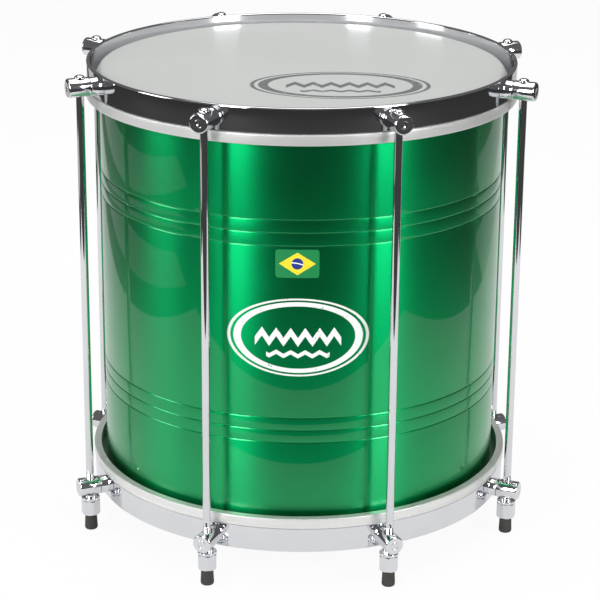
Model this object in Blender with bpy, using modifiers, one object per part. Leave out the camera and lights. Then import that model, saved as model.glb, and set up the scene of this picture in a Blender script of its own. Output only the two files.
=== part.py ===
"""Repinique: a 12-inch two-headed samba drum with eight rod-tuned stations.

Metres, +Z up, the batter head on top. The origin is on the floor, in the middle of the
eight rubber tips that the drum stands on, and the photographed front looks along -Y.
"""

import math

import bmesh
import bpy
from mathutils import Matrix

MM = 0.001

# Shared by every piece
CLEARANCE = 0.3 * MM
RING_FACETS = 48
LUG_FACETS = 16
PIN_FACETS = 12
STATIONS = 8
FIRST_STATION = math.radians(-67.5)

# Shell: rolled aluminium, edges curled inward, two bands of rolled grooves
SHELL_RADIUS = 150.0 * MM
SHELL_LENGTH = 315.0 * MM
SHELL_WALL = 1.2 * MM
EDGE_BEND = 2.6 * MM
EDGE_RETURN = 3.5 * MM
GROOVE_WIDTH = 2.0 * MM
GROOVE_DEPTH = 0.5 * MM
GROOVE_PITCH = 9.4 * MM
GROOVES_PER_BAND = 3
BAND_FROM_MIDDLE = 73.3 * MM

# Heads: a film that folds over the shell's edge and is tucked into a flesh hoop
FILM = 0.4 * MM
TUCK_DEPTH = 4.7 * MM
FILM_RISE = 1.0 * MM
FLESH_STANDOFF = 4.6 * MM
FLESH_LIP = 0.7 * MM
FLESH_WALL = 3.7 * MM
FLESH_HEIGHT = 7.8 * MM
FLESH_CHAMFER = 0.8 * MM

# Counterhoops: flat bands with a rounded rim and eight collars, each with a spigot
RIM_ABOVE_HEAD = 6.0 * MM
HOOP_HEIGHT = 18.1 * MM
HOOP_WALL = 2.9 * MM
RIM_ROUNDING = 1.0 * MM
COLLAR_RADIUS = 6.7 * MM
COLLAR_LENGTH = 5.1 * MM
SPIGOT_RADIUS = 3.2 * MM
SPIGOT_LENGTH = 2.3 * MM

# Lugs: barrels on the spigots, bored and countersunk across for the rods
LUG_RADIUS = 7.0 * MM
LUG_ROUNDING = 1.3 * MM
LUG_CHAMFER = 0.4 * MM
LUG_BELOW_RIM = 9.2 * MM
ROD_STANDOFF = 12.1 * MM
ROD_TO_LUG_FACE = 9.5 * MM
SINK_RADIUS = 5.0 * MM

# Rods: plain shafts with a domed, cone-seated head at the top
ROD_RADIUS = 2.9 * MM
ROD_HEAD_RADIUS = 3.9 * MM
ROD_HEAD_RIM = 0.6 * MM
ROD_DOME = 2.3 * MM
ROD_END_CHAMFER = 0.6 * MM

# Seat washers: a flange with a nose that centres in the lug's countersink
WASHER_RADIUS = 7.0 * MM
WASHER_THICKNESS = 2.0 * MM
WASHER_BELOW_LUG = 1.6 * MM
WASHER_CHAMFER = 0.4 * MM
NOSE_RADIUS = 4.2 * MM
NOSE_TIP_WALL = 0.4 * MM

# Tuning nuts: long hexagons, chamfered at both ends
NUT_FLATS = 12.7 * MM
NUT_LENGTH = 12.4 * MM
NUT_TOP_CHAMFER = 0.5 * MM
NUT_BOTTOM_CHAMFER = 2.0 * MM
NUT_BOTTOM_RADIUS = 5.2 * MM

# Rubber tips: caps pushed over the rods' threaded ends, which are the drum's feet
TIP_LENGTH = 11.3 * MM
TIP_TOP_RADIUS = 4.5 * MM
TIP_RADIUS = 4.9 * MM
TIP_SWELL_HEIGHT = 2.0 * MM
TIP_FOOT_RADIUS = 3.9 * MM
TIP_FLOOR = 3.0 * MM

# Radii that follow
BORE_RADIUS = ROD_RADIUS + CLEARANCE
FLESH_INNER = SHELL_RADIUS + FLESH_STANDOFF
SLOT_INNER = FLESH_INNER + FLESH_LIP
SLOT_OUTER = SLOT_INNER + FILM + 2 * CLEARANCE
FLESH_OUTER = SLOT_OUTER + FLESH_WALL
HOOP_INNER = SLOT_OUTER
HOOP_OUTER = HOOP_INNER + HOOP_WALL
ROD_CIRCLE = HOOP_OUTER + ROD_STANDOFF
LUG_INNER_END = HOOP_OUTER + COLLAR_LENGTH + CLEARANCE

# Heights that follow, upward from the floor
NUT_BASE = TIP_LENGTH + CLEARANCE
WASHER_BASE = NUT_BASE + NUT_LENGTH + CLEARANCE
WASHER_TOP = WASHER_BASE + WASHER_THICKNESS
LOWER_LUG = WASHER_TOP + WASHER_BELOW_LUG + LUG_RADIUS
HEAD_STACK = FILM + CLEARANCE
SHELL_BASE = LOWER_LUG - LUG_BELOW_RIM + RIM_ABOVE_HEAD + HEAD_STACK
MIDDLE = SHELL_BASE + SHELL_LENGTH / 2

# Heights above the drum's middle, the same at both ends
HEAD_TOP = SHELL_LENGTH / 2 + HEAD_STACK
RIM = HEAD_TOP + RIM_ABOVE_HEAD
HOOP_EDGE = RIM - HOOP_HEIGHT
FLESH_TOP = HOOP_EDGE - CLEARANCE
UPPER_LUG = MIDDLE + RIM - LUG_BELOW_RIM


def clear_scene():
    for old in list(bpy.data.objects):
        bpy.data.objects.remove(old, do_unlink=True)


def new_collection(name):
    collection = bpy.data.collections.new(name)
    bpy.context.scene.collection.children.link(collection)
    return collection


def material(name, colour, roughness, metallic):
    made = bpy.data.materials.new(name)
    made.use_nodes = True
    shader = made.node_tree.nodes["Principled BSDF"]
    shader.inputs["Base Color"].default_value = (*colour, 1.0)
    shader.inputs["Roughness"].default_value = roughness
    shader.inputs["Metallic"].default_value = metallic
    return made


def arc(centre, radius, start, end, steps):
    """Points of an arc in the profile plane, angles in degrees from +X."""
    points = []
    for step in range(steps + 1):
        angle = math.radians(start + (end - start) * step / steps)
        points.append((centre[0] + radius * math.cos(angle), centre[1] + radius * math.sin(angle)))
    return points


def turned(profile, closed, facets):
    """Mesh of a profile of (radius, height) points turned about Z."""
    mesh = bpy.data.meshes.new("turned")
    edges = [(i, i + 1) for i in range(len(profile) - 1)]
    if closed:
        edges.append((len(profile) - 1, 0))
    mesh.from_pydata([(radius, 0.0, height) for radius, height in profile], edges, [])
    source = bpy.data.objects.new("turned", mesh)
    bpy.context.scene.collection.objects.link(source)
    screw = source.modifiers.new("turn", "SCREW")
    screw.steps = facets
    screw.render_steps = facets
    screw.use_merge_vertices = True
    screw.merge_threshold = 0.00001
    return baked(source)


def baked(source):
    """The mesh that an object's modifiers make, with the object removed."""
    bpy.context.view_layer.update()
    graph = bpy.context.evaluated_depsgraph_get()
    mesh = bpy.data.meshes.new_from_object(source.evaluated_get(graph))
    bpy.data.objects.remove(source, do_unlink=True)
    return mesh


def combined(mesh, cutter_mesh, operation):
    """Mesh of one solid cut by, or joined with, another."""
    source = bpy.data.objects.new("combined", mesh)
    cutter = bpy.data.objects.new("cutter", cutter_mesh)
    bpy.context.scene.collection.objects.link(source)
    cutters.objects.link(cutter)
    cutter.hide_render = True
    cutter.display_type = "WIRE"
    change = source.modifiers.new(operation, "BOOLEAN")
    change.operation = operation
    change.object = cutter
    change.solver = "EXACT"
    result = baked(source)
    bpy.data.objects.remove(cutter, do_unlink=True)
    return result


def merged(meshes):
    """One mesh that holds several."""
    work = bmesh.new()
    for mesh in meshes:
        work.from_mesh(mesh)
    result = bpy.data.meshes.new("merged")
    work.to_mesh(result)
    work.free()
    return result


def place(name, mesh, look, location=(0, 0, 0), rotation=(0, 0, 0), parent=None):
    """Object of a piece, smooth across its round faces."""
    piece = bpy.data.objects.new(name, mesh)
    drum.objects.link(piece)
    piece.location = location
    piece.rotation_euler = rotation
    piece.parent = parent
    if not mesh.materials:
        mesh.materials.append(look)
        mesh.shade_smooth()
        mesh.set_sharp_from_angle(angle=math.radians(30))
    return piece


def groove_points():
    """Outer wall points of all the grooves, from the top one down."""
    points = []
    for side in (1, -1):
        for index in range(GROOVES_PER_BAND):
            step = (GROOVES_PER_BAND - 1) / 2 - index
            height = side * BAND_FROM_MIDDLE + step * GROOVE_PITCH
            points.append((SHELL_RADIUS, height + GROOVE_WIDTH / 2))
            points.append((SHELL_RADIUS - GROOVE_DEPTH, height))
            points.append((SHELL_RADIUS, height - GROOVE_WIDTH / 2))
    return points


def shell_mesh():
    """Wall with an inward curl at each end, as one closed section."""
    bend = (SHELL_RADIUS - EDGE_BEND, SHELL_LENGTH / 2 - EDGE_BEND)
    low_bend = (bend[0], -bend[1])
    inner_bend = EDGE_BEND - SHELL_WALL
    curl = bend[0] - EDGE_BEND
    profile = [(curl, bend[1] - EDGE_RETURN)]
    profile += arc(bend, EDGE_BEND, 180, 0, 4)
    profile += groove_points()
    profile += arc(low_bend, EDGE_BEND, 0, -180, 4)
    profile.append((curl, EDGE_RETURN - bend[1]))
    profile.append((curl + SHELL_WALL, EDGE_RETURN - bend[1]))
    profile += arc(low_bend, inner_bend, -180, 0, 2)
    profile += arc(bend, inner_bend, 0, 180, 2)
    profile.append((curl + SHELL_WALL, bend[1] - EDGE_RETURN))
    return turned(profile, True, RING_FACETS)


def head_mesh():
    """Film: flat, round the shell's edge, down the collar and into the slot."""
    bend = (SHELL_RADIUS - EDGE_BEND, SHELL_LENGTH / 2 - EDGE_BEND)
    film_bend = EDGE_BEND + CLEARANCE + FILM / 2
    tuck_radius = SLOT_INNER + CLEARANCE + FILM / 2
    tuck_top = FLESH_TOP + FILM_RISE
    reach = (tuck_radius - bend[0], tuck_top - bend[1])
    leave = math.degrees(math.atan2(reach[1], reach[0]) + math.acos(film_bend / math.hypot(*reach)))
    tuck_end = FLESH_TOP - TUCK_DEPTH
    profile = [(0.0, HEAD_TOP)]
    profile += arc(bend, film_bend + FILM / 2, 90, leave, 2)
    profile.append((tuck_radius + FILM / 2, tuck_top))
    profile.append((tuck_radius + FILM / 2, tuck_end))
    profile.append((tuck_radius - FILM / 2, tuck_end))
    profile.append((tuck_radius - FILM / 2, tuck_top))
    profile += arc(bend, film_bend - FILM / 2, leave, 90, 2)
    profile.append((0.0, HEAD_TOP - FILM))
    return turned(profile, False, RING_FACETS)


def flesh_hoop_mesh():
    """Ring with a slot in its head side, where the film is tucked."""
    base = FLESH_TOP - FLESH_HEIGHT
    slot_floor = FLESH_TOP - TUCK_DEPTH - CLEARANCE
    profile = [
        (SLOT_OUTER, FLESH_TOP),
        (FLESH_OUTER - FLESH_CHAMFER, FLESH_TOP),
        (FLESH_OUTER, FLESH_TOP - FLESH_CHAMFER),
        (FLESH_OUTER, base + FLESH_CHAMFER),
        (FLESH_OUTER - FLESH_CHAMFER, base),
        (FLESH_INNER, base),
        (FLESH_INNER, FLESH_TOP),
        (SLOT_INNER, FLESH_TOP),
        (SLOT_INNER, slot_floor),
        (SLOT_OUTER, slot_floor),
    ]
    return turned(profile, True, RING_FACETS)


def collar_mesh():
    """Collar and spigot, turned about Z and then laid along +X."""
    root = HOOP_OUTER - HOOP_WALL / 2
    collar_end = HOOP_OUTER + COLLAR_LENGTH
    spigot_end = collar_end + SPIGOT_LENGTH
    profile = [
        (0.0, spigot_end),
        (SPIGOT_RADIUS, spigot_end),
        (SPIGOT_RADIUS, collar_end),
        (COLLAR_RADIUS, collar_end),
        (COLLAR_RADIUS, root),
        (0.0, root),
    ]
    mesh = turned(profile, False, LUG_FACETS)
    mesh.transform(Matrix.Rotation(math.radians(90), 4, "Y"))
    return mesh


def counterhoop_mesh():
    """Band with a rounded rim, joined with a collar at each station."""
    crown = HOOP_WALL / 2 - RIM_ROUNDING / 2
    profile = [
        (HOOP_INNER + crown, RIM),
        (HOOP_OUTER - crown, RIM),
        (HOOP_OUTER, RIM - RIM_ROUNDING),
        (HOOP_OUTER, HOOP_EDGE),
        (HOOP_INNER, HOOP_EDGE),
        (HOOP_INNER, RIM - RIM_ROUNDING),
    ]
    band = turned(profile, True, RING_FACETS)
    collars = []
    for index in range(STATIONS):
        collar = collar_mesh()
        collar.transform(Matrix.Rotation(station_angle(index), 4, "Z"))
        collar.transform(Matrix.Translation((0, 0, RIM - LUG_BELOW_RIM)))
        collars.append(collar)
    return combined(band, merged(collars), "UNION")


def lug_mesh():
    """Barrel along +X, centred where the rod crosses it."""
    inner = LUG_INNER_END - ROD_CIRCLE
    bore_end = inner + SPIGOT_LENGTH
    profile = [
        (0.0, ROD_TO_LUG_FACE),
        (LUG_RADIUS - LUG_ROUNDING, ROD_TO_LUG_FACE),
        (LUG_RADIUS, ROD_TO_LUG_FACE - LUG_ROUNDING),
        (LUG_RADIUS, inner + LUG_CHAMFER),
        (LUG_RADIUS - LUG_CHAMFER, inner),
        (SPIGOT_RADIUS + CLEARANCE, inner),
        (SPIGOT_RADIUS + CLEARANCE, bore_end),
        (0.0, bore_end),
    ]
    barrel = turned(profile, False, LUG_FACETS)
    barrel.transform(Matrix.Rotation(math.radians(90), 4, "Y"))
    overrun = LUG_RADIUS + SINK_RADIUS
    sink_edge = SINK_RADIUS + SINK_RADIUS
    sink_foot = overrun - (sink_edge - BORE_RADIUS)
    hole = [
        (0.0, overrun),
        (sink_edge, overrun),
        (BORE_RADIUS, sink_foot),
        (BORE_RADIUS, -sink_foot),
        (sink_edge, -overrun),
        (0.0, -overrun),
    ]
    return combined(barrel, turned(hole, False, PIN_FACETS), "DIFFERENCE")


def sink_gap_radius(distance):
    """Radius of a cone that clears the countersink, at a distance from the lug's middle."""
    return SINK_RADIUS + distance - LUG_RADIUS - CLEARANCE * math.sqrt(2)


def sink_gap_distance(radius):
    """Distance from the lug's middle where that cone has a given radius."""
    return radius - sink_gap_radius(0.0)


def rod_mesh():
    """Rod in world heights, from inside the rubber tip to the dome."""
    foot = TIP_FLOOR + CLEARANCE
    cone_foot = UPPER_LUG + sink_gap_distance(ROD_RADIUS)
    cone_top = UPPER_LUG + sink_gap_distance(ROD_HEAD_RADIUS)
    dome_base = cone_top + ROD_HEAD_RIM
    profile = [(0.0, dome_base + ROD_DOME)]
    for share in (0.45, 0.8):
        rise = ROD_DOME * math.sqrt(1 - share * share)
        profile.append((ROD_HEAD_RADIUS * share, dome_base + rise))
    profile += [
        (ROD_HEAD_RADIUS, dome_base),
        (ROD_HEAD_RADIUS, cone_top),
        (ROD_RADIUS, cone_foot),
        (ROD_RADIUS, foot + ROD_END_CHAMFER),
        (ROD_RADIUS - ROD_END_CHAMFER, foot),
        (0.0, foot),
    ]
    return turned(profile, False, PIN_FACETS)


def washer_mesh():
    """Flange with a coned nose that enters the lower lug's countersink."""
    tip_radius = BORE_RADIUS + NOSE_TIP_WALL
    profile = [
        (BORE_RADIUS, LOWER_LUG - sink_gap_distance(tip_radius)),
        (tip_radius, LOWER_LUG - sink_gap_distance(tip_radius)),
        (NOSE_RADIUS, LOWER_LUG - sink_gap_distance(NOSE_RADIUS)),
        (NOSE_RADIUS, WASHER_TOP),
        (WASHER_RADIUS - WASHER_CHAMFER, WASHER_TOP),
        (WASHER_RADIUS, WASHER_TOP - WASHER_CHAMFER),
        (WASHER_RADIUS, WASHER_BASE),
        (BORE_RADIUS, WASHER_BASE),
    ]
    return turned(profile, True, PIN_FACETS)


def nut_mesh():
    """Hexagon, trimmed to its chamfers by a turned solid, with a bore."""
    corner = NUT_FLATS / math.sqrt(3)
    top = NUT_BASE + NUT_LENGTH
    work = bmesh.new()
    bmesh.ops.create_cone(work, cap_ends=True, segments=6, radius1=corner, radius2=corner, depth=NUT_LENGTH)
    bmesh.ops.translate(work, verts=work.verts, vec=(0, 0, NUT_BASE + NUT_LENGTH / 2))
    hexagon = bpy.data.meshes.new("hexagon")
    work.to_mesh(hexagon)
    work.free()
    spare = corner + CLEARANCE
    profile = [
        (BORE_RADIUS, top),
        (NUT_FLATS / 2, top),
        (spare, top - NUT_TOP_CHAMFER),
        (spare, NUT_BASE + NUT_BOTTOM_CHAMFER),
        (NUT_BOTTOM_RADIUS, NUT_BASE),
        (BORE_RADIUS, NUT_BASE),
    ]
    return combined(hexagon, turned(profile, True, 2 * PIN_FACETS), "INTERSECT")


def tip_mesh():
    """Rubber cap, open at the top for the rod, flat where it stands."""
    profile = [
        (0.0, TIP_FLOOR),
        (BORE_RADIUS, TIP_FLOOR),
        (BORE_RADIUS, TIP_LENGTH),
        (TIP_TOP_RADIUS, TIP_LENGTH),
        (TIP_RADIUS, TIP_SWELL_HEIGHT),
        (TIP_FOOT_RADIUS, 0.0),
        (0.0, 0.0),
    ]
    return turned(profile, False, PIN_FACETS)


def station_angle(index):
    return FIRST_STATION + math.tau * index / STATIONS


def build_frame():
    """Shell, heads and hoops. The lower end is the upper end turned over."""
    upside_down = (math.pi, 0, 0)
    centre = (0, 0, MIDDLE)
    head = head_mesh()
    flesh_hoop = flesh_hoop_mesh()
    counterhoop = counterhoop_mesh()
    place("shell", shell_mesh(), GREEN, centre)
    place("batter_head", head, FILM_WHITE, centre)
    place("resonant_head", head, FILM_WHITE, centre, upside_down)
    place("batter_flesh_hoop", flesh_hoop, ALUMINIUM, centre)
    place("resonant_flesh_hoop", flesh_hoop, ALUMINIUM, centre, upside_down)
    place("top_counterhoop", counterhoop, CHROME, centre)
    place("bottom_counterhoop", counterhoop, CHROME, centre, upside_down)


def build_stations():
    """Eight rods, each with two lugs, a seat washer, a nut and a rubber tip."""
    lug = lug_mesh()
    rod = rod_mesh()
    washer = washer_mesh()
    nut = nut_mesh()
    tip = tip_mesh()
    for index in range(STATIONS):
        number = index + 1
        angle = station_angle(index)
        axis = bpy.data.objects.new(f"station_{number}", None)
        drum.objects.link(axis)
        axis.location = (ROD_CIRCLE * math.cos(angle), ROD_CIRCLE * math.sin(angle), 0)
        axis.rotation_euler = (0, 0, angle)
        place(f"upper_lug_{number}", lug, CHROME, (0, 0, UPPER_LUG), parent=axis)
        place(f"lower_lug_{number}", lug, CHROME, (0, 0, LOWER_LUG), parent=axis)
        place(f"tension_rod_{number}", rod, CHROME, parent=axis)
        place(f"seat_washer_{number}", washer, CHROME, parent=axis)
        place(f"tuning_nut_{number}", nut, CHROME, parent=axis)
        place(f"rubber_tip_{number}", tip, RUBBER, parent=axis)


clear_scene()
drum = new_collection("repinique")
cutters = new_collection("cutters")
GREEN = material("green_shell", (0.010, 0.240, 0.085), 0.25, 0.9)
FILM_WHITE = material("head_film", (0.62, 0.63, 0.62), 0.45, 0.0)
ALUMINIUM = material("satin_aluminium", (0.78, 0.77, 0.75), 0.35, 1.0)
CHROME = material("chrome", (0.80, 0.80, 0.82), 0.08, 1.0)
RUBBER = material("rubber", (0.035, 0.035, 0.033), 0.8, 0.0)
build_frame()
build_stations()
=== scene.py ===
"""Looks of a 12-inch repinique: green shell, milky heads, chrome hoops, rods and nuts."""

import math

import bmesh
import bpy
from mathutils import Matrix, Vector


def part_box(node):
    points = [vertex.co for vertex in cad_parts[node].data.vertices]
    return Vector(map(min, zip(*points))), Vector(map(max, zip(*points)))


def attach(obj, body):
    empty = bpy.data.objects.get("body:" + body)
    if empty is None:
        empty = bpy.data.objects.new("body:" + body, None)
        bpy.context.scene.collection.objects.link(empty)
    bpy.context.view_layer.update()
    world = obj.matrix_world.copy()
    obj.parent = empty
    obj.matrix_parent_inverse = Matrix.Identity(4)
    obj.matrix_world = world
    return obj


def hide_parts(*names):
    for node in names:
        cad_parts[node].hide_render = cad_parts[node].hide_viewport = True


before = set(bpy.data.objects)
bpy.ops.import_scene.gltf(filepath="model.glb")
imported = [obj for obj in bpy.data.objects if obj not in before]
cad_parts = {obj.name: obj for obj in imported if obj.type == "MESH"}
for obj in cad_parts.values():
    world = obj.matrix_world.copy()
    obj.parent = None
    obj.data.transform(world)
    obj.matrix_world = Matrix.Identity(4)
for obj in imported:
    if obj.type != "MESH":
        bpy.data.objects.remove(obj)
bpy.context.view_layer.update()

# The shell is rolled aluminium sheet, lacquered in a clear green over the brushed metal.
# Three narrow grooves are rolled into it near each end, and both edges curl inward.
# A flag sticker and a printed white oval with rows of zigzag sit on the front.
MM = 0.001
RING_STEPS = 256
shell_low, shell_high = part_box("shell")
MIDDLE = (shell_low.z + shell_high.z) / 2
SHELL_HALF = (shell_high.z - shell_low.z) / 2
SHELL_RADIUS = shell_high.x
SHELL_WALL = 1.2 * MM
EDGE_BEND = 2.6 * MM
EDGE_RETURN = 3.5 * MM
BEND_RADIUS = SHELL_RADIUS - EDGE_BEND
BEND_HEIGHT = SHELL_HALF - EDGE_BEND
BEND_STEPS = 12
GROOVE_HALF = 0.8 * MM
GROOVE_DEPTH = 0.32 * MM
GROOVE_PITCH = 9.4 * MM
GROOVE_STEPS = 6
BAND_FROM_MIDDLE = 73.3 * MM


def bow(centre, radius, start, end, steps):
    """Profile points along an arc, with angles in degrees from the radial direction."""
    points = []
    for step in range(steps + 1):
        angle = math.radians(start + (end - start) * step / steps)
        points.append((centre[0] + radius * math.cos(angle), centre[1] + radius * math.sin(angle)))
    return points


def lifted(profile):
    """A profile with heights from the drum's middle, set at its height above the floor."""
    return [(radius, MIDDLE + height) for radius, height in profile]


def shell_profile():
    """Half section of the shell's wall, with heights from the drum's middle."""
    high_bend, low_bend = (BEND_RADIUS, BEND_HEIGHT), (BEND_RADIUS, -BEND_HEIGHT)
    curl = BEND_RADIUS - EDGE_BEND
    lip = BEND_HEIGHT - EDGE_RETURN
    points = [(curl, lip)] + bow(high_bend, EDGE_BEND, 180, 0, BEND_STEPS)
    for side in (1, -1):
        for place in (1, 0, -1):
            height = side * BAND_FROM_MIDDLE + place * GROOVE_PITCH
            for step in range(-GROOVE_STEPS, GROOVE_STEPS + 1):
                depth = GROOVE_DEPTH * (0.5 + 0.5 * math.cos(math.pi * step / GROOVE_STEPS))
                points.append((SHELL_RADIUS - depth, height - step * GROOVE_HALF / GROOVE_STEPS))
    points += bow(low_bend, EDGE_BEND, 0, -180, BEND_STEPS)
    points += [(curl, -lip), (curl + SHELL_WALL, -lip)]
    points += bow(low_bend, EDGE_BEND - SHELL_WALL, -180, 0, BEND_STEPS // 2)
    points += bow(high_bend, EDGE_BEND - SHELL_WALL, 0, 180, BEND_STEPS // 2)
    points.append((curl + SHELL_WALL, lip))
    return points


def spun(profile, steps, closed=True):
    """A bmesh of a (radius, height) profile spun once round Z."""
    work = bmesh.new()
    points = [work.verts.new((radius, 0, height)) for radius, height in profile]
    edges = [work.edges.new(pair) for pair in zip(points, points[1:])]
    if closed:
        edges.append(work.edges.new((points[-1], points[0])))
    bmesh.ops.spin(
        work, geom=points + edges, cent=(0, 0, 0), axis=(0, 0, 1), dvec=(0, 0, 0),
        angle=math.tau, steps=steps, use_merge=True, use_normal_flip=False, use_duplicate=False,
    )
    bmesh.ops.remove_doubles(work, verts=work.verts, dist=1e-6)
    bmesh.ops.recalc_face_normals(work, faces=work.faces)
    return work


def shaped(work, name, finish, crease=35):
    """Object from a bmesh, shaded smooth up to a crease angle in degrees."""
    mesh = bpy.data.meshes.new(name)
    work.to_mesh(mesh)
    work.free()
    mesh.shade_smooth()
    mesh.set_sharp_from_angle(angle=math.radians(crease))
    mesh.materials.append(finish)
    piece = bpy.data.objects.new(name, mesh)
    bpy.context.scene.collection.objects.link(piece)
    return piece


def worn_by(piece, body, node):
    """Let a piece ride on a body and stand for its CAD node, which is hidden."""
    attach(piece, body)
    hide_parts(node)


class Wire:
    """A shader socket that adds Math nodes when it is used in an expression."""

    def __init__(self, tree, socket=None):
        self.tree = tree
        self.socket = socket

    def node(self, kind, settings=None, **values):
        """A new node. An input is given by its name, or by i and its number."""
        made = self.tree.nodes.new(kind)
        for name, value in (settings or {}).items():
            setattr(made, name, value)
        for name, value in values.items():
            place = int(name[1:]) if name[0] == "i" else name
            if isinstance(value, Wire):
                self.tree.links.new(value.socket, made.inputs[place])
            else:
                made.inputs[place].default_value = value
        return made

    def out(self, kind, settings=None, output=0, **values):
        """One output of a new node."""
        return Wire(self.tree, self.node(kind, settings, **values).outputs[output])

    def maths(self, operation, *others):
        inputs = {f"i{index}": value for index, value in enumerate((self, *others))}
        return self.out("ShaderNodeMath", {"operation": operation}, **inputs)

    def __add__(self, other):
        return self.maths("ADD", other)

    def __sub__(self, other):
        return self.maths("SUBTRACT", other)

    def __rsub__(self, other):
        return self * -1.0 + other

    def __mul__(self, other):
        return self.maths("MULTIPLY", other)

    def __truediv__(self, other):
        return self.maths("DIVIDE", other)

    __radd__ = __add__
    __rmul__ = __mul__

    def below(self, limit, soft=0.12 * MM):
        """1 where this is under a limit, with a soft edge."""
        return ((limit - self) / soft + 0.5).maths("MAXIMUM", 0.0).maths("MINIMUM", 1.0)

    def size(self):
        """The value without its sign."""
        return self.maths("ABSOLUTE")

    def reach(self, other):
        """Distance from the origin, with another value as the second side."""
        return (self * self + other * other).maths("SQRT")

    def tint(self, under, over):
        """Colour mixed from under to over by this factor."""
        return self.out("ShaderNodeMix", {"data_type": "RGBA"}, 2, i0=self, i6=under, i7=over)


class Finish:
    """A Principled material with its object coordinates at hand."""

    def __init__(self, name, **constants):
        self.material = bpy.data.materials.new(name)
        self.material.use_nodes = True
        self.tree = self.material.node_tree
        self.shader = self.tree.nodes["Principled BSDF"]
        for socket, value in constants.items():
            self.shader.inputs[socket.replace("_", " ")].default_value = value
        self.place = Wire(self.tree).out("ShaderNodeTexCoord", output=3)
        split = self.place.node("ShaderNodeSeparateXYZ", i0=self.place)
        self.x, self.y, self.z = (Wire(self.tree, output) for output in split.outputs)

    def noise(self, scale, detail, stretch=None, place=None):
        place = place or self.place
        if stretch:
            place = place.out("ShaderNodeVectorMath", {"operation": "MULTIPLY"}, i0=place, i1=stretch)
        return place.out("ShaderNodeTexNoise", Vector=place, Scale=scale, Detail=detail)

    def round_place(self, radius):
        """Arc length and height as a vector, for grain that runs round Z."""
        arc = self.y.maths("ARCTAN2", self.x) * radius
        return arc.out("ShaderNodeCombineXYZ", X=arc, Y=self.z)

    def feed(self, socket, wire):
        self.tree.links.new(wire.socket, self.shader.inputs[socket])

    def bump(self, height, strength, distance):
        self.feed("Normal", height.out("ShaderNodeBump", Height=height, Strength=strength, Distance=distance))


# Shares of the oval's half size, width or height.
OVAL_LINES = ((1.0, 0.955), (0.91, 0.80))
LINE_SOFTNESS = 0.01
ZIGZAG_STEP = 0.05
ZIGZAG_SLOPE = 1.5
TALL_ROW_DROP, TALL_ROW_HALF, TALL_ROW_REACH = 0.035, 0.055, 0.60
LOW_ROW_DROP, LOW_ROW_HALF, LOW_ROW_REACH = 0.24, 0.028, 0.44
LOW_ROW_SWING = 0.4
ROW_SOFTNESS = 0.005


def oval_print(across, up, width, height):
    """Mask of a printed oval: two lines round a tall and a low row of zigzag."""
    aside = across / (width / 2)
    reach = aside.reach(up / (height / 2))
    mask = 0.0
    for outer, inner in OVAL_LINES:
        mask = reach.below(outer, LINE_SOFTNESS) - reach.below(inner, LINE_SOFTNESS) + mask
    wave = (across + width).maths("PINGPONG", width * ZIGZAG_STEP) * ZIGZAG_SLOPE
    tall = (up + width * TALL_ROW_DROP - wave).size().below(height * TALL_ROW_HALF)
    low = (up + height * LOW_ROW_DROP - wave * LOW_ROW_SWING).size().below(height * LOW_ROW_HALF)
    mask = mask + tall * aside.size().below(TALL_ROW_REACH, ROW_SOFTNESS)
    return mask + low * aside.size().below(LOW_ROW_REACH, ROW_SOFTNESS)


FLAG_CENTRE = (-2.0 * MM, 241.4 * MM)
FLAG_SIZE = (30.5 * MM, 20.6 * MM)
FLAG_CORNER = 2.2 * MM
FLAG_FIELD = (0.004, 0.21, 0.055, 1)
RHOMBUS_SHARES = (0.42, 0.40)
RHOMBUS_SOFTNESS = 0.02
RHOMBUS_COLOUR = (0.80, 0.62, 0.02, 1)
DISC_SHARE = 0.20
DISC_COLOUR = (0.012, 0.03, 0.22, 1)
RIBBON_BEND = 26.0
RIBBON_SLOPE = 0.18
RIBBON_RISE = 0.35 * MM
RIBBON_HALF = 0.42 * MM
RIBBON_COLOUR = (0.75, 0.78, 0.80, 1)


def flag_sticker(across, up):
    """Mask and colour of the sticker, with across and up measured from its centre."""
    past_side = (across.size() - (FLAG_SIZE[0] / 2 - FLAG_CORNER)).maths("MAXIMUM", 0.0)
    past_top = (up.size() - (FLAG_SIZE[1] / 2 - FLAG_CORNER)).maths("MAXIMUM", 0.0)
    mask = past_side.reach(past_top).below(FLAG_CORNER)
    slant = across.size() / (FLAG_SIZE[0] * RHOMBUS_SHARES[0])
    slant = slant + up.size() / (FLAG_SIZE[1] * RHOMBUS_SHARES[1])
    disc = across.reach(up).below(FLAG_SIZE[1] * DISC_SHARE)
    swing = across * across * RIBBON_BEND + across * RIBBON_SLOPE
    ribbon = (up + swing - RIBBON_RISE).size().below(RIBBON_HALF) * disc
    colour = slant.below(1.0, RHOMBUS_SOFTNESS).tint(FLAG_FIELD, RHOMBUS_COLOUR)
    return mask, ribbon.tint(disc.tint(colour, DISC_COLOUR), RIBBON_COLOUR)


LACQUER_DEEP = (0.0005, 0.300, 0.085, 1)
LACQUER_BRIGHT = (0.002, 0.460, 0.140, 1)
LACQUER_ROUGHNESS = 0.29
LACQUER_COAT = 0.62
PRINT_CENTRE = (-1.2 * MM, 187.0 * MM)
PRINT_SIZE = (101.8 * MM, 58.0 * MM)
PRINT_WHITE = (0.74, 0.78, 0.75, 1)
PRINT_WEAR = 0.70
FRONT_SOFTNESS = 1.0 * MM

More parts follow.
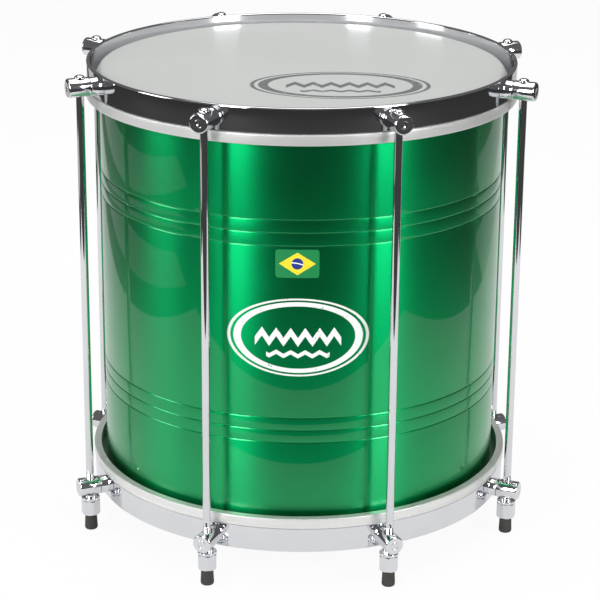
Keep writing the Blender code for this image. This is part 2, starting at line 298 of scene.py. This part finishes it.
green = Finish(
    "green_lacquer", Metallic=1.0, Coat_Roughness=0.03, Coat_IOR=1.5, Anisotropic=0.8,
    Anisotropic_Rotation=0.25,
)
brushing = green.noise(260.0, 4.0, stretch=(1.5, 14.0, 1.0), place=green.round_place(SHELL_RADIUS))
cloudy = green.noise(9.0, 2.0)
scuffs = green.noise(55.0, 6.0)
lacquer = (brushing * 0.55 + cloudy * 0.45).tint(LACQUER_DEEP, LACQUER_BRIGHT)
front = green.y.below(0.0, FRONT_SOFTNESS)
sideways = green.x.maths("ARCTAN2", green.y * -1.0) * SHELL_RADIUS
flag_mask, flag = flag_sticker(sideways - FLAG_CENTRE[0], green.z - FLAG_CENTRE[1])
flag_mask = flag_mask * front
print_mask = oval_print(sideways - PRINT_CENTRE[0], green.z - PRINT_CENTRE[1], *PRINT_SIZE) * front
print_mask = print_mask * green.noise(420.0, 5.0).below(PRINT_WEAR, 0.10)
printed = (print_mask + flag_mask).maths("MINIMUM", 1.0)
green.feed("Base Color", print_mask.tint(flag_mask.tint(lacquer, flag), PRINT_WHITE))
green.feed("Metallic", 1.0 - printed)
green.feed("Roughness", printed * 0.12 + brushing * 0.10 + scuffs * 0.05 + LACQUER_ROUGHNESS)
green.feed("Coat Weight", LACQUER_COAT - printed * 0.3)
green.bump(brushing * 0.5 + printed * 1.6 + scuffs * 0.2, strength=0.12, distance=0.10 * MM)

shell = shaped(spun(lifted(shell_profile()), RING_STEPS), "shell_wall", green.material)
worn_by(shell, "drum", "shell")

# Both heads are milky polyester film. It lies flat, rolls over the shell's edge, runs
# down a sloping collar and is tucked into its flesh hoop. The batter head carries a
# grey printed oval with rows of zigzag.
FILM = 0.4 * MM
CLEARANCE = 0.3 * MM
TUCK_DEPTH = 4.7 * MM
TUCK_RADIUS = 155.8 * MM
FILM_RISE = 1.0 * MM
HEAD_TOP = SHELL_HALF + CLEARANCE + FILM
HEAD_RINGS = (0.3, 0.6, 0.85, 0.97)
flesh_low, flesh_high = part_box("batter_flesh_hoop")
FLESH_TOP = flesh_high.z - MIDDLE
FILM_SHADE = (0.520, 0.532, 0.520, 1)
FILM_LIGHT = (0.565, 0.576, 0.564, 1)
INK_CENTRE = (27.5 * MM, -66.0 * MM)
INK_SIZE = (129.0 * MM, 82.0 * MM)
INK_COLOUR = (0.10, 0.10, 0.105, 1)
INK_STRENGTH = 0.85


def turned_over(work):
    """The same shape at the drum's lower end."""
    bmesh.ops.rotate(work, verts=work.verts, cent=(0, 0, MIDDLE), matrix=Matrix.Rotation(math.pi, 3, "X"))
    return work


def head_profile():
    """Half section of the film, from the middle of its top to the middle of its underside."""
    bend = (BEND_RADIUS, BEND_HEIGHT)
    film_bend = EDGE_BEND + CLEARANCE + FILM / 2
    tuck = (TUCK_RADIUS - BEND_RADIUS, FLESH_TOP + FILM_RISE - BEND_HEIGHT)
    leave = math.degrees(math.atan2(tuck[1], tuck[0]) + math.acos(film_bend / math.hypot(*tuck)))
    outside, inside = TUCK_RADIUS + FILM / 2, TUCK_RADIUS - FILM / 2
    points = [(0.0, HEAD_TOP)] + [(BEND_RADIUS * share, HEAD_TOP) for share in HEAD_RINGS]
    points += bow(bend, film_bend + FILM / 2, 90, leave, steps=8)
    points += [(outside, FLESH_TOP + FILM_RISE), (outside, FLESH_TOP - TUCK_DEPTH)]
    points += [(inside, FLESH_TOP - TUCK_DEPTH), (inside, FLESH_TOP + FILM_RISE)]
    points += bow(bend, film_bend - FILM / 2, leave, 90, steps=8)
    points.append((0.0, HEAD_TOP - FILM))
    return points


def film_finish(name, printed):
    """Milky film, with the printed oval on the batter head."""
    film = Finish(name, Coat_Roughness=0.12, IOR=1.45)
    haze = film.noise(14.0, 3.0)
    fibre = film.noise(900.0, 2.0)
    tone = (haze * 0.7 + fibre * 0.3).tint(FILM_SHADE, FILM_LIGHT)
    if printed:
        oval = oval_print(film.x - INK_CENTRE[0], film.y - INK_CENTRE[1], *INK_SIZE)
        ink = oval * film.noise(300.0, 4.0).below(PRINT_WEAR, 0.15) * INK_STRENGTH
        tone = ink.tint(tone, INK_COLOUR)
    film.feed("Base Color", tone)
    film.feed("Roughness", haze * 0.10 + fibre * 0.06 + 0.30)
    film.feed("Coat Weight", haze * 0.10 + 0.10)
    film.bump(fibre * 0.4 + haze, strength=0.06, distance=0.10 * MM)
    return film.material


def head_shape():
    return spun(lifted(head_profile()), RING_STEPS, closed=False)


batter = shaped(head_shape(), "batter_film", film_finish("batter_film", True))
worn_by(batter, "drum", "batter_head")
resonant = shaped(turned_over(head_shape()), "resonant_film", film_finish("resonant_film", False))
worn_by(resonant, "drum", "resonant_head")

# Each head's flesh hoop is a drawn aluminium ring, brushed round its length. A slot in
# its head side grips the film, and a shallow line runs round near that edge.
SLOT_INNER = 155.3 * MM
SLOT_OUTER = 156.3 * MM
SLOT_FLOOR = FLESH_TOP - TUCK_DEPTH - CLEARANCE
FLESH_INNER = 154.6 * MM
FLESH_OUTER = flesh_high.x
FLESH_BASE = flesh_low.z - MIDDLE
FLESH_ROUNDING = 0.9 * MM
LINE_HEIGHT = FLESH_TOP - 2.1 * MM
LINE_HALF = 0.25 * MM
LINE_DEPTH = 0.2 * MM
SATIN_SHADE = (0.72, 0.72, 0.71, 1)
SATIN_LIGHT = (0.86, 0.86, 0.85, 1)


def flesh_profile():
    """Half section of the flesh hoop, with heights from the drum's middle."""
    rounding = FLESH_OUTER - FLESH_ROUNDING
    points = [(SLOT_OUTER, FLESH_TOP)]
    points += bow((rounding, FLESH_TOP - FLESH_ROUNDING), FLESH_ROUNDING, 90, 0, steps=5)
    points += [(FLESH_OUTER, LINE_HEIGHT + LINE_HALF), (FLESH_OUTER - LINE_DEPTH, LINE_HEIGHT)]
    points.append((FLESH_OUTER, LINE_HEIGHT - LINE_HALF))
    points += bow((rounding, FLESH_BASE + FLESH_ROUNDING), FLESH_ROUNDING, 0, -90, steps=5)
    points += [(FLESH_INNER, FLESH_BASE), (FLESH_INNER, FLESH_TOP), (SLOT_INNER, FLESH_TOP)]
    points += [(SLOT_INNER, SLOT_FLOOR), (SLOT_OUTER, SLOT_FLOOR)]
    return points


def flesh_shape():
    return spun(lifted(flesh_profile()), RING_STEPS)


satin = Finish("satin_aluminium", Metallic=0.72)
ring_grain = satin.noise(300.0, 4.0, stretch=(0.6, 30.0, 1.0), place=satin.round_place(FLESH_OUTER))
dull = satin.noise(24.0, 4.0)
satin.feed("Base Color", (ring_grain * 0.6 + dull * 0.4).tint(SATIN_SHADE, SATIN_LIGHT))
satin.feed("Roughness", ring_grain * 0.16 + dull * 0.10 + 0.32)
satin.bump(ring_grain, strength=0.25, distance=0.10 * MM)

batter_ring = shaped(flesh_shape(), "batter_ring", satin.material)
worn_by(batter_ring, "drum", "batter_flesh_hoop")
resonant_ring = shaped(turned_over(flesh_shape()), "resonant_ring", satin.material)
worn_by(resonant_ring, "drum", "resonant_flesh_hoop")

# The counterhoops are bent from flat steel, rounded at the rim and chrome plated. Eight
# short collars are welded round each, and the lug barrels butt on them.
STATIONS = 8
FIRST_STATION = math.radians(-67.5)
hoop_low, hoop_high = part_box("top_counterhoop")
RIM = hoop_high.z - MIDDLE
HOOP_EDGE = hoop_low.z - MIDDLE
HOOP_INNER = SLOT_OUTER
HOOP_WALL = 2.9 * MM
HOOP_OUTER = HOOP_INNER + HOOP_WALL
HOOP_CHAMFER = 0.35 * MM
RIM_SHARE = 0.8
COLLAR_RADIUS = 6.7 * MM
COLLAR_LENGTH = 5.1 * MM
COLLAR_CHAMFER = 0.25 * MM
WELD = 0.9 * MM
upper_low, upper_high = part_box("upper_lug_1")
UPPER_LUG = (upper_low.z + upper_high.z) / 2
CHROME_SHADE = (0.72, 0.73, 0.76, 1)
CHROME_LIGHT = (0.80, 0.80, 0.82, 1)


def station_angle(number):
    """Direction of a station from the +X axis, with the first at the front right."""
    return FIRST_STATION + math.tau * (number - 1) / STATIONS


def band_profile():
    """Half section of the flat band: a rim rounded over and flattened on top."""
    rounding = HOOP_WALL / 2
    rim_base = RIM - rounding * RIM_SHARE
    arch = bow((HOOP_INNER + rounding, rim_base), rounding, 180, 0, steps=16)
    points = [(radius, min(height, RIM)) for radius, height in arch]
    points += [(HOOP_OUTER, HOOP_EDGE + HOOP_CHAMFER), (HOOP_OUTER - HOOP_CHAMFER, HOOP_EDGE)]
    points += [(HOOP_INNER + HOOP_CHAMFER, HOOP_EDGE), (HOOP_INNER, HOOP_EDGE + HOOP_CHAMFER)]
    return points


def collar_profile():
    """Half section of a collar along the station's radius, with its weld at the band."""
    end = HOOP_OUTER + COLLAR_LENGTH
    root = HOOP_OUTER - HOOP_WALL / 2
    return [
        (0.0, end),
        (COLLAR_RADIUS - COLLAR_CHAMFER, end),
        (COLLAR_RADIUS, end - COLLAR_CHAMFER),
        (COLLAR_RADIUS, HOOP_OUTER + WELD * 0.6),
        (COLLAR_RADIUS + WELD * 0.25, HOOP_OUTER + WELD * 0.15),
        (COLLAR_RADIUS + WELD * 0.4, HOOP_OUTER - WELD * 0.4),
        (COLLAR_RADIUS, root),
        (0.0, root),
    ]


def laid_out(work, angle, height):
    """A shape spun round Z, laid along a station's radius at a height."""
    bmesh.ops.rotate(work, verts=work.verts, cent=(0, 0, 0), matrix=Matrix.Rotation(math.pi / 2, 3, "Y"))
    bmesh.ops.rotate(work, verts=work.verts, cent=(0, 0, 0), matrix=Matrix.Rotation(angle, 3, "Z"))
    bmesh.ops.translate(work, verts=work.verts, vec=(0, 0, height))
    return work


def taken_in(work, other):
    """Add another bmesh's shape to a bmesh."""
    spare = bpy.data.meshes.new("spare")
    other.to_mesh(spare)
    other.free()
    work.from_mesh(spare)
    bpy.data.meshes.remove(spare)


def hoop_shape():
    """The band with its eight collars, at the drum's upper end."""
    work = spun(lifted(band_profile()), RING_STEPS)
    for number in range(1, STATIONS + 1):
        collar = spun(collar_profile(), steps=48, closed=False)
        taken_in(work, laid_out(collar, station_angle(number), UPPER_LUG))
    return work


chrome = Finish("chrome_plate", Metallic=1.0)
wipe = chrome.noise(32.0, 5.0)
pits = chrome.noise(900.0, 3.0)
chrome.feed("Base Color", wipe.tint(CHROME_SHADE, CHROME_LIGHT))
chrome.feed("Roughness", wipe * 0.07 + pits * 0.03 + 0.015)
chrome.bump(pits * 0.3 + wipe, strength=0.05, distance=0.15 * MM)

top_hoop = shaped(hoop_shape(), "top_hoop", chrome.material, crease=30)
worn_by(top_hoop, "drum", "top_counterhoop")
bottom_hoop = shaped(turned_over(hoop_shape()), "bottom_hoop", chrome.material, crease=30)
worn_by(bottom_hoop, "drum", "bottom_counterhoop")

# The lugs are turned barrels with a rounded outer end, faced off with a fine ring and a
# centre mark. A rod hole goes across each, countersunk at both mouths.
lower_low, lower_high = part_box("lower_lug_1")
LOWER_LUG = (lower_low.z + lower_high.z) / 2
ROD_CIRCLE = HOOP_OUTER + 12.1 * MM
LUG_RADIUS = 7.0 * MM
LUG_ROUNDING = 1.3 * MM
LUG_INNER_ROUNDING = 0.4 * MM
LUG_INNER = HOOP_OUTER + COLLAR_LENGTH + CLEARANCE - ROD_CIRCLE
LUG_FACE = 9.5 * MM
CENTRE_MARK = (0.7 * MM, 0.35 * MM)
FACE_DISH = 0.02 * MM
FACE_RING = 2.7 * MM
FACE_RING_HALF = 0.2 * MM
FACE_RING_DEPTH = 0.12 * MM
SINK_RADIUS = 5.0 * MM
BORE_RADIUS = 3.2 * MM


def cut(work, cutter, operation="DIFFERENCE"):
    """A bmesh cut by another one."""
    holders = []
    for part in (work, cutter):
        mesh = bpy.data.meshes.new("holder")
        part.to_mesh(mesh)
        part.free()
        holder = bpy.data.objects.new("holder", mesh)
        bpy.context.scene.collection.objects.link(holder)
        holders.append(holder)
    change = holders[0].modifiers.new("cut", "BOOLEAN")
    change.operation = operation
    change.object = holders[1]
    bpy.context.view_layer.update()
    made = bpy.data.meshes.new_from_object(holders[0].evaluated_get(bpy.context.evaluated_depsgraph_get()))
    result = bmesh.new()
    result.from_mesh(made)
    for mesh in (made, holders[0].data, holders[1].data):
        bpy.data.meshes.remove(mesh)
    return result


def lug_shape():
    """A barrel along +X about the rod's axis, with its rod hole."""
    points = [(0.0, LUG_FACE - CENTRE_MARK[1]), (CENTRE_MARK[0], LUG_FACE - FACE_DISH)]
    points += [(FACE_RING - FACE_RING_HALF, LUG_FACE), (FACE_RING, LUG_FACE - FACE_RING_DEPTH)]
    points.append((FACE_RING + FACE_RING_HALF, LUG_FACE))
    points += bow((LUG_RADIUS - LUG_ROUNDING, LUG_FACE - LUG_ROUNDING), LUG_ROUNDING, 90, 0, steps=8)
    inner_centre = (LUG_RADIUS - LUG_INNER_ROUNDING, LUG_INNER + LUG_INNER_ROUNDING)
    points += bow(inner_centre, LUG_INNER_ROUNDING, 0, -90, steps=4)
    points.append((0.0, LUG_INNER))
    barrel = laid_out(spun(points, steps=72, closed=False), 0.0, 0.0)
    wide = SINK_RADIUS * 2
    mouth = LUG_RADIUS + SINK_RADIUS
    throat = mouth - (wide - BORE_RADIUS)
    hole = [(0.0, mouth), (wide, mouth), (BORE_RADIUS, throat)]
    hole += [(BORE_RADIUS, -throat), (wide, -mouth), (0.0, -mouth)]
    return cut(barrel, spun(hole, steps=48, closed=False))


def at_station(shape, number, name, finish, crease, height=0.0):
    """A numbered piece: a copy of a shape about the rod's axis, at a station."""
    copy = shape.copy()
    turn = Matrix.Rotation(station_angle(number), 3, "Z")
    bmesh.ops.translate(copy, verts=copy.verts, vec=(ROD_CIRCLE, 0, 0))
    bmesh.ops.rotate(copy, verts=copy.verts, cent=(0, 0, 0), matrix=turn)
    bmesh.ops.translate(copy, verts=copy.verts, vec=(0, 0, height))
    return shaped(copy, f"{name}_{number}", finish, crease)


barrel_shape = lug_shape()
for number in range(1, STATIONS + 1):
    for end, height in (("upper", UPPER_LUG), ("lower", LOWER_LUG)):
        lug = at_station(barrel_shape, number, f"{end}_barrel", chrome.material, 30, height)
        worn_by(lug, "drum", f"{end}_lug_{number}")
barrel_shape.free()

# The tension rods are bright chrome-plated steel with a domed head in the upper lug and
# a rolled thread round their lower end, which runs down into the rubber tip.
rod_low, rod_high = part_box("tension_rod_1")
ROD_RADIUS = 2.9 * MM
ROD_HEAD = 3.9 * MM
ROD_END_CHAMFER = 0.6 * MM
CONE_TOP = UPPER_LUG + ROD_HEAD + LUG_RADIUS - SINK_RADIUS + CLEARANCE * math.sqrt(2)
CONE_FOOT = CONE_TOP - (ROD_HEAD - ROD_RADIUS)
DOME_BASE = CONE_TOP + 0.6 * MM
DOME_STEPS = 8
THREAD_PITCH = 1.0 * MM
THREAD_DEPTH = 0.28 * MM
THREAD_TOP = 46.0 * MM


def rod_profile():
    """Half section of a rod, from the top of its dome down its thread."""
    points = [(0.0, rod_high.z)]
    for step in range(1, DOME_STEPS + 1):
        angle = math.pi / 2 * (1 - step / DOME_STEPS)
        rise = (rod_high.z - DOME_BASE) * math.sin(angle)
        points.append((ROD_HEAD * math.cos(angle), DOME_BASE + rise))
    points += [(ROD_HEAD, CONE_TOP), (ROD_RADIUS, CONE_FOOT), (ROD_RADIUS, THREAD_TOP)]
    turns = int((THREAD_TOP - rod_low.z) / THREAD_PITCH) - 1
    for turn in range(turns):
        crest = THREAD_TOP - turn * THREAD_PITCH
        points += [(ROD_RADIUS - THREAD_DEPTH, crest - THREAD_PITCH / 2), (ROD_RADIUS, crest - THREAD_PITCH)]
    points += [(ROD_RADIUS - ROD_END_CHAMFER, rod_low.z), (0.0, rod_low.z)]
    return points


rod_shape = spun(rod_profile(), steps=40, closed=False)
for number in range(1, STATIONS + 1):
    rod = at_station(rod_shape, number, "rod", chrome.material, crease=40)
    worn_by(rod, "drum", f"tension_rod_{number}")
rod_shape.free()

# A seat washer sits on each nut: a chrome flange with a coned nose that centres it in
# the lower lug's countersink. It slides down the rod as the nut is backed off.
washer_low, washer_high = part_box("seat_washer_1")
WASHER_RADIUS = 7.0 * MM
WASHER_TOP = washer_low.z + 2.0 * MM
WASHER_ROUNDING = 0.4 * MM
NOSE_RADIUS = 4.2 * MM
NOSE_TIP = BORE_RADIUS + 0.4 * MM


def washer_profile():
    """Half section of a washer, from the top of its nose round to its bore."""
    rounding = WASHER_RADIUS - WASHER_ROUNDING
    points = [(BORE_RADIUS, washer_high.z), (NOSE_TIP, washer_high.z)]
    points += [(NOSE_RADIUS, washer_high.z - (NOSE_RADIUS - NOSE_TIP)), (NOSE_RADIUS, WASHER_TOP)]
    points += bow((rounding, WASHER_TOP - WASHER_ROUNDING), WASHER_ROUNDING, 90, 0, steps=4)
    points += bow((rounding, washer_low.z + WASHER_ROUNDING), WASHER_ROUNDING, 0, -90, steps=4)
    points.append((BORE_RADIUS, washer_low.z))
    return points


washer_shape = spun(washer_profile(), steps=48)
for number in range(1, STATIONS + 1):
    washer = at_station(washer_shape, number, "washer", chrome.material, crease=30)
    worn_by(washer, f"nut_seat_{number}", f"seat_washer_{number}")
washer_shape.free()

# The tuning nuts are long chromed hexagons. The lower end tapers steeply down to the
# rubber tip, and the upper one has a light chamfer under the washer.
nut_low, nut_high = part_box("tuning_nut_1")
NUT_FLATS = 12.7 * MM
NUT_CORNER = NUT_FLATS / math.sqrt(3)
NUT_EDGE = 0.35 * MM
NUT_TOP = NUT_FLATS / 2 - 0.1 * MM
NUT_TOP_CHAMFER = 0.7 * MM
NUT_FOOT = 5.2 * MM
NUT_FOOT_EDGE = (0.35 * MM, 0.2 * MM)
NUT_TAPER = 2.2 * MM


def nut_shape():
    """A hexagon about the rod's axis, with its edges eased and both ends turned down."""
    length = nut_high.z - nut_low.z
    hexagon = bmesh.new()
    bmesh.ops.create_cone(
        hexagon, cap_ends=True, segments=6, radius1=NUT_CORNER, radius2=NUT_CORNER, depth=length,
    )
    bmesh.ops.translate(hexagon, verts=hexagon.verts, vec=(0, 0, nut_low.z + length / 2))
    upright = []
    for edge in hexagon.edges:
        if abs(edge.verts[0].co.z - edge.verts[1].co.z) > length / 2:
            upright.append(edge)
    bmesh.ops.bevel(
        hexagon, geom=upright, offset=NUT_EDGE, segments=3, profile=0.5, affect="EDGES", material=-1,
    )
    wide = NUT_CORNER + 0.5 * MM
    turned = [
        (BORE_RADIUS, nut_high.z),
        (NUT_TOP, nut_high.z),
        (wide, nut_high.z - NUT_TOP_CHAMFER),
        (wide, nut_low.z + NUT_TAPER),
        (NUT_FOOT + NUT_FOOT_EDGE[0], nut_low.z + NUT_FOOT_EDGE[1]),
        (NUT_FOOT, nut_low.z),
        (BORE_RADIUS, nut_low.z),
    ]
    return cut(hexagon, spun(turned, steps=72), "INTERSECT")


hexagon_shape = nut_shape()
for number in range(1, STATIONS + 1):
    nut = at_station(hexagon_shape, number, "hex_nut", chrome.material, crease=25)
    worn_by(nut, f"nut_{number}", f"tuning_nut_{number}")
hexagon_shape.free()

# Black rubber tips are pushed over the ends of the rods, as feet and to cover the
# thread. They are moulded, a little wider towards the foot, with a dusty grain.
tip_low, tip_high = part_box("rubber_tip_1")
TIP_FLOOR = 3.0 * MM
TIP_EDGE = 0.3 * MM
TIP_TOP = 4.5 * MM
TIP_WAIST = (4.8 * MM, 4.0 * MM)
TIP_RADIUS = 4.9 * MM
TIP_BELLY = 2.6 * MM
TIP_FOOT = 3.9 * MM
TIP_ROUNDING = 1.7 * MM
TIP_STEPS = 8
RUBBER_DARK = (0.016, 0.016, 0.015, 1)
RUBBER_DUSTY = (0.055, 0.054, 0.050, 1)


def tip_profile():
    """Half section of a tip, from the floor of its hole round to the middle of its foot."""
    points = [(0.0, TIP_FLOOR), (BORE_RADIUS, TIP_FLOOR), (BORE_RADIUS, tip_high.z)]
    points += [(TIP_TOP - TIP_EDGE, tip_high.z), (TIP_TOP, tip_high.z - TIP_EDGE)]
    points += [TIP_WAIST, (TIP_RADIUS, TIP_BELLY)]
    for step in range(1, TIP_STEPS):
        angle = math.pi / 2 * step / TIP_STEPS
        radius = TIP_FOOT + (TIP_RADIUS - TIP_FOOT) * math.cos(angle)
        points.append((radius, TIP_ROUNDING * (1 - math.sin(angle))))
    points += [(TIP_FOOT, 0.0), (0.0, 0.0)]
    return points


rubber = Finish("black_rubber", Metallic=0.0, IOR=1.5)
grain = rubber.noise(1500.0, 5.0)
dust = rubber.noise(180.0, 4.0)
rubber.feed("Base Color", dust.tint(RUBBER_DARK, RUBBER_DUSTY))
rubber.feed("Roughness", grain * 0.25 + 0.55)
rubber.bump(grain + dust, strength=0.5, distance=0.30 * MM)

foot_shape = spun(tip_profile(), steps=48, closed=False)
for number in range(1, STATIONS + 1):
    foot = at_station(foot_shape, number, "rubber_foot", rubber.material, crease=40)
    worn_by(foot, f"nut_seat_{number}", f"rubber_tip_{number}")
foot_shape.free()

# The studio is all white to the camera. In the reflections it is a white table that ends
# in front of the drum, with a dark floor round it and a pale board on each side.
STAGE_REACH = 4.0
STAGE_FRONT = -6.0
STAGE_BACK = 6.0
TABLE_FRONT = -0.43
TABLE_SIDE = 0.62
LEFT_BOARD_FAR = -1.15
LEFT_BOARD_NEAR = -0.80
RIGHT_BOARD_FRONT = 0.35
RIGHT_BOARD_FAR = 1.0
STAGE_SHADE = (0.85, 0.85, 0.85, 1)
WHITE = (1, 1, 1, 1)
SHADOWLESS_SHARE = 0.93


def stage_finish(name, mirrored_shade, mirrored_share=0.97):
    """White to the camera with some shadow left, and its own shade in reflections."""
    made = bpy.data.materials.new(name)
    made.use_nodes = True
    tree = made.node_tree
    tree.nodes.remove(tree.nodes["Principled BSDF"])
    start = Wire(tree)
    path = start.node("ShaderNodeLightPath")
    camera_ray = Wire(tree, path.outputs["Is Camera Ray"])
    mirror_ray = Wire(tree, path.outputs["Is Glossy Ray"])
    lit = start.out("ShaderNodeBsdfDiffuse", Color=STAGE_SHADE)
    white = start.out("ShaderNodeEmission", Color=WHITE, Strength=1.0)
    mirrored = start.out("ShaderNodeEmission", Color=(mirrored_shade,) * 3 + (1,), Strength=1.0)
    seen = start.out("ShaderNodeMixShader", i0=camera_ray * SHADOWLESS_SHARE, i1=lit, i2=white)
    both = start.out("ShaderNodeMixShader", i0=mirror_ray * mirrored_share, i1=seen, i2=mirrored)
    tree.links.new(both.socket, tree.nodes["Material Output"].inputs["Surface"])
    return made


def stage_plane(name, left, right, front, back, finish):
    """A level rectangle at the height of the floor."""
    work = bmesh.new()
    bmesh.ops.create_grid(work, x_segments=1, y_segments=1, size=0.5)
    bmesh.ops.scale(work, verts=work.verts, vec=(right - left, back - front, 1))
    bmesh.ops.translate(work, verts=work.verts, vec=((left + right) / 2, (front + back) / 2, 0))
    shaped(work, name, finish)


table = stage_finish("table", 0.84, 0.7)
dark_floor = stage_finish("dark_floor", 0.02)
pale_board = stage_finish("pale_board", 0.55)
stage_plane("table", -TABLE_SIDE, TABLE_SIDE, TABLE_FRONT, STAGE_BACK, table)
stage_plane("floor_in_front", -STAGE_REACH, STAGE_REACH, STAGE_FRONT, TABLE_FRONT, dark_floor)
stage_plane("left_gap", LEFT_BOARD_NEAR, -TABLE_SIDE, TABLE_FRONT, STAGE_BACK, dark_floor)
stage_plane("left_board", LEFT_BOARD_FAR, LEFT_BOARD_NEAR, TABLE_FRONT, STAGE_BACK, pale_board)
stage_plane("left_floor", -STAGE_REACH, LEFT_BOARD_FAR, TABLE_FRONT, STAGE_BACK, dark_floor)
stage_plane("right_floor", TABLE_SIDE, STAGE_REACH, TABLE_FRONT, RIGHT_BOARD_FRONT, dark_floor)
stage_plane("right_board", TABLE_SIDE, RIGHT_BOARD_FAR, RIGHT_BOARD_FRONT, STAGE_BACK, pale_board)
stage_plane("right_floor_behind", RIGHT_BOARD_FAR, STAGE_REACH, RIGHT_BOARD_FRONT, STAGE_BACK, dark_floor)

# Two soft lamps in front make the upright highlights on the shell, one lights the left
# side and one hangs overhead. The surround is white, and dimmer in reflections.
SURROUND_LEVEL = 0.45
SURROUND_SEEN = 0.55
SURROUND_MIRRORED = -0.32


def soft_lamp(name, spot, width, height, power):
    """A rectangular lamp aimed at the drum's middle."""
    data = bpy.data.lights.new(name, "AREA")
    data.shape = "RECTANGLE"
    data.size = width
    data.size_y = height
    data.energy = power
    lamp = bpy.data.objects.new(name, data)
    lamp.location = spot
    aim = Vector((0, 0, MIDDLE)) - Vector(spot)
    lamp.rotation_euler = aim.to_track_quat("-Z", "Y").to_euler()
    bpy.context.scene.collection.objects.link(lamp)


soft_lamp("left_lamp", (-1.06, -1.57, 0.75), width=0.45, height=0.9, power=16)
soft_lamp("right_lamp", (1.36, -1.33, 0.75), width=0.50, height=0.9, power=17)
soft_lamp("left_side_lamp", (-1.80, -0.30, 0.75), width=0.6, height=0.9, power=8)
soft_lamp("top_lamp", (0, 0.2, 1.9), width=1.6, height=1.6, power=22)

surround = bpy.data.worlds.new("surround")
surround.use_nodes = True
bpy.context.scene.world = surround
backdrop = surround.node_tree.nodes["Background"]
backdrop.inputs["Color"].default_value = WHITE
sky_path = Wire(surround.node_tree).node("ShaderNodeLightPath")
sky_seen = Wire(surround.node_tree, sky_path.outputs["Is Camera Ray"]) * SURROUND_SEEN
sky_mirrored = Wire(surround.node_tree, sky_path.outputs["Is Glossy Ray"]) * SURROUND_MIRRORED
sky_level = sky_seen + sky_mirrored + SURROUND_LEVEL
surround.node_tree.links.new(sky_level.socket, backdrop.inputs["Strength"])

# The camera stands in front, a little above the drum, as the photographer's did.
CAMERA_SPOT = (0.0, -1.5683, 0.7083)
CAMERA_TILT = math.radians(90 - 19.178)
CAMERA_ROLL = math.radians(0.45)
SENSOR_WIDTH = 36.0
FOCAL_LENGTH = 129.47

lens = bpy.data.cameras.new("photo_view")
lens.sensor_width = SENSOR_WIDTH
lens.lens = FOCAL_LENGTH
camera = bpy.data.objects.new("photo_view", lens)
turn = Matrix.Rotation(CAMERA_TILT, 4, "X") @ Matrix.Rotation(CAMERA_ROLL, 4, "Z")
camera.matrix_world = Matrix.Translation(CAMERA_SPOT) @ turn
bpy.context.scene.collection.objects.link(camera)
bpy.context.scene.camera = camera
bpy.context.scene.view_settings.view_transform = "Standard"
